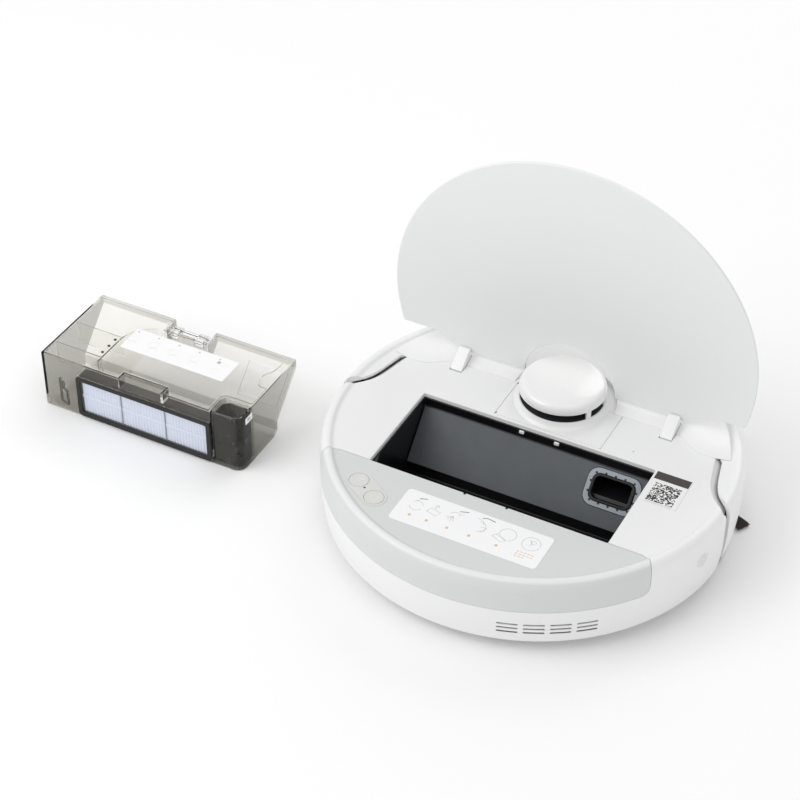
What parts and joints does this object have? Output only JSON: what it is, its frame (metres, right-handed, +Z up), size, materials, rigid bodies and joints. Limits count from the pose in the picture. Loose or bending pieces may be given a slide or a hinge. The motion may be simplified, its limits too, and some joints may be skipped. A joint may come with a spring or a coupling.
{
  "type": "robot vacuum cleaner",
  "caption": "Round self-driving vacuum cleaner with a raised laser turret, its hinged lid open and its smoky dust bin lifted out and set down beside it.",
  "frame": {"origin": "on the floor, under the middle of the box round the robot and its dust bin", "axes": "+Z up; +Y the way the robot drives, with its bumper ahead and its dust bin bay behind; +X from the lifted dust bin towards the robot"},
  "size_m": [0.611, 0.35, 0.3],
  "materials": {
    "body_white": "satin gloss moulded ABS",
    "deck_white": "gloss moulded ABS",
    "cover_frosted": "fine frosted texture",
    "crest_white": "gloss moulded ABS",
    "bumper_white": "satin gloss moulded ABS",
    "window_black": "infrared-clear tinted plastic",
    "lid_white": "gloss outside, satin inner face",
    "pin_steel": "ground steel wire",
    "bay_black": "semi gloss moulded plastic",
    "slope_graphite": "satin moulded panel",
    "inlet_grey": "satin moulded frame",
    "seal_rubber": "soft lip seal",
    "catch_white": "moulded catch",
    "turret_white": "high gloss moulded ABS",
    "lidar_black": "dark rotating range finder",
    "button_frosted": "satin moulded button",
    "label_paper": "printed gloss label",
    "speaker_grey": "perforated grille",
    "vent_black": "slotted insert behind the wall",
    "battery_black": "shrink wrapped pack",
    "board_green": "lacquered circuit board",
    "fan_graphite": "moulded blower",
    "duct_graphite": "moulded duct",
    "brush_rubber": "soft finned roller",
    "hub_graphite": "moulded hub",
    "bristle_dark": "nylon bristle",
    "caster_graphite": "moulded fork",
    "caster_rubber": "hard roller",
    "arm_graphite": "moulded gear case",
    "wheel_grey": "moulded wheel hub",
    "tyre_rubber": "ribbed soft tyre",
    "contact_metal": "plated charging strip",
    "bin_smoke": "smoky clear styrene",
    "filter_frame_graphite": "moulded frame",
    "filter_pleats": "pleated filter paper"
  },
  "bodies": {
    "chassis": {"upper_housing": "body_white", "rear_cover": "cover_frosted", "front_cover": "crest_white", "base_pan": "deck_white", "hinge_pin_left": "pin_steel", "hinge_pin_right": "pin_steel", "bin_bay": "bay_black", "bay_sloped_panel": "slope_graphite", "inlet_frame": "inlet_grey", "inlet_seal": "seal_rubber", "bin_catch_1": "catch_white", "bin_catch_2": "catch_white", "turret_plate": "turret_white", "turret_cap": "turret_white", "lidar_base": "lidar_black", "button_pad": "button_frosted", "guide_label": "label_paper", "code_label": "label_paper", "speaker_grille": "speaker_grey", "exhaust_insert": "vent_black", "battery": "battery_black", "main_board": "board_green", "fan_housing": "fan_graphite", "brush_tunnel": "duct_graphite", "suction_duct": "duct_graphite", "brush_frame": "duct_graphite", "side_brush_motor": "hub_graphite", "charge_contact_left": "contact_metal", "charge_contact_right": "contact_metal"},
    "bumper": {"bumper_shell": "bumper_white", "bumper_window": "window_black"},
    "lid": {"lid_panel": "lid_white", "hinge_arm_left": "lid_white", "hinge_arm_right": "lid_white"},
    "range_finder": {"lidar_head": "lidar_black"},
    "network_key": {"network_button": "button_frosted"},
    "restart_key": {"restart_button": "button_frosted"},
    "fan_rotor": {"fan_impeller": "fan_graphite"},
    "roller_brush": {"main_brush": "brush_rubber"},
    "side_brush": {"side_brush_hub": "hub_graphite", "side_brush_tuft_1": "bristle_dark", "side_brush_tuft_2": "bristle_dark", "side_brush_tuft_3": "bristle_dark"},
    "caster": {"caster_fork": "caster_graphite"},
    "caster_wheel": {"caster_roller": "caster_rubber"},
    "wheel_carrier_left": {"wheel_arm_left": "arm_graphite"},
    "wheel_carrier_right": {"wheel_arm_right": "arm_graphite"},
    "wheel_left": {"wheel_hub_left": "wheel_grey", "wheel_tyre_left": "tyre_rubber"},
    "wheel_right": {"wheel_hub_right": "wheel_grey", "wheel_tyre_right": "tyre_rubber"},
    "bin": {"bin_shell": "bin_smoke", "bin_hinge_pin": "pin_steel", "bin_partition": "bin_smoke"},
    "bin_cover": {"bin_lid": "bin_smoke", "bin_label": "label_paper"},
    "filter": {"filter_frame": "filter_frame_graphite", "filter_seal": "seal_rubber", "filter_media": "filter_pleats"},
    "flap": {"inlet_flap": "bin_smoke"}
  },
  "joints": [
    {"name": "lid_hinge", "type": "hinge", "parent": "chassis", "child": "lid", "pos_m": [0.1305, 0.0678, 0.07], "axis": [1, 0, 0], "range_deg": [0, 87.2]},
    {"name": "bumper_push", "type": "slide", "parent": "chassis", "child": "bumper", "axis": [0, -1, 0], "range_m": [0, 0.003], "stiffness_N_per_m": 800},
    {"name": "lidar_spin", "type": "hinge", "parent": "chassis", "child": "range_finder", "pos_m": [0.1312, 0.0575, 0.083], "axis": [0, 0, 1], "continuous": true},
    {"name": "network_button_press", "type": "slide", "parent": "chassis", "child": "network_key", "axis": [0, 0, -1], "range_m": [0, 0.0005], "stiffness_N_per_m": 900},
    {"name": "restart_button_press", "type": "slide", "parent": "chassis", "child": "restart_key", "axis": [0, 0, -1], "range_m": [0, 0.0005], "stiffness_N_per_m": 900},
    {"name": "fan_spin", "type": "hinge", "parent": "chassis", "child": "fan_rotor", "pos_m": [0.1885, -0.1134, 0.03], "axis": [0, 0, 1], "continuous": true},
    {"name": "main_brush_spin", "type": "hinge", "parent": "chassis", "child": "roller_brush", "pos_m": [0.1305, 0.05, 0.0256], "axis": [1, 0, 0], "continuous": true},
    {"name": "side_brush_spin", "type": "hinge", "parent": "chassis", "child": "side_brush", "pos_m": [0.2385, 0.092, 0.006], "axis": [0, 0, 1], "continuous": true, "deforming": ["side_brush_tuft_1", "side_brush_tuft_2", "side_brush_tuft_3"]},
    {"name": "caster_swivel", "type": "hinge", "parent": "chassis", "child": "caster", "pos_m": [0.1305, 0.128, 0.012], "axis": [0, 0, 1], "continuous": true},
    {"name": "caster_roll", "type": "hinge", "parent": "caster", "child": "caster_wheel", "pos_m": [0.1305, 0.124, 0.011], "axis": [1, 0, 0], "continuous": true},
    {"name": "wheel_drop_left", "type": "hinge", "parent": "chassis", "child": "wheel_carrier_left", "pos_m": [-0.0135, 0.044, 0.038], "axis": [1, 0, 0], "range_deg": [0, 22]},
    {"name": "wheel_spin_left", "type": "hinge", "parent": "wheel_carrier_left", "child": "wheel_left", "pos_m": [0.0085, 0, 0.033], "axis": [1, 0, 0], "continuous": true},
    {"name": "wheel_drop_right", "type": "hinge", "parent": "chassis", "child": "wheel_carrier_right", "pos_m": [0.2745, 0.044, 0.038], "axis": [1, 0, 0], "range_deg": [0, 22]},
    {"name": "wheel_spin_right", "type": "hinge", "parent": "wheel_carrier_right", "child": "wheel_right", "pos_m": [0.2525, 0, 0.033], "axis": [1, 0, 0], "continuous": true},
    {"name": "bin_lift", "type": "slide", "parent": "chassis", "child": "bin", "axis": [0, 0, 1], "range_m": [0, 0.15]},
    {"name": "bin_lid_hinge", "type": "hinge", "parent": "bin", "child": "bin_cover", "pos_m": [-0.2045, 0.009, 0.0541], "axis": [-1, 0, 0], "range_deg": [0, 80]},
    {"name": "filter_pull", "type": "slide", "parent": "bin", "child": "filter", "axis": [0, -1, 0], "range_m": [0, 0.03]},
    {"name": "inlet_flap_hinge", "type": "hinge", "parent": "bin", "child": "flap", "pos_m": [-0.1285, 0.0064, 0.038], "axis": [-1, 0, 0], "range_deg": [0, 50]}
  ]
}
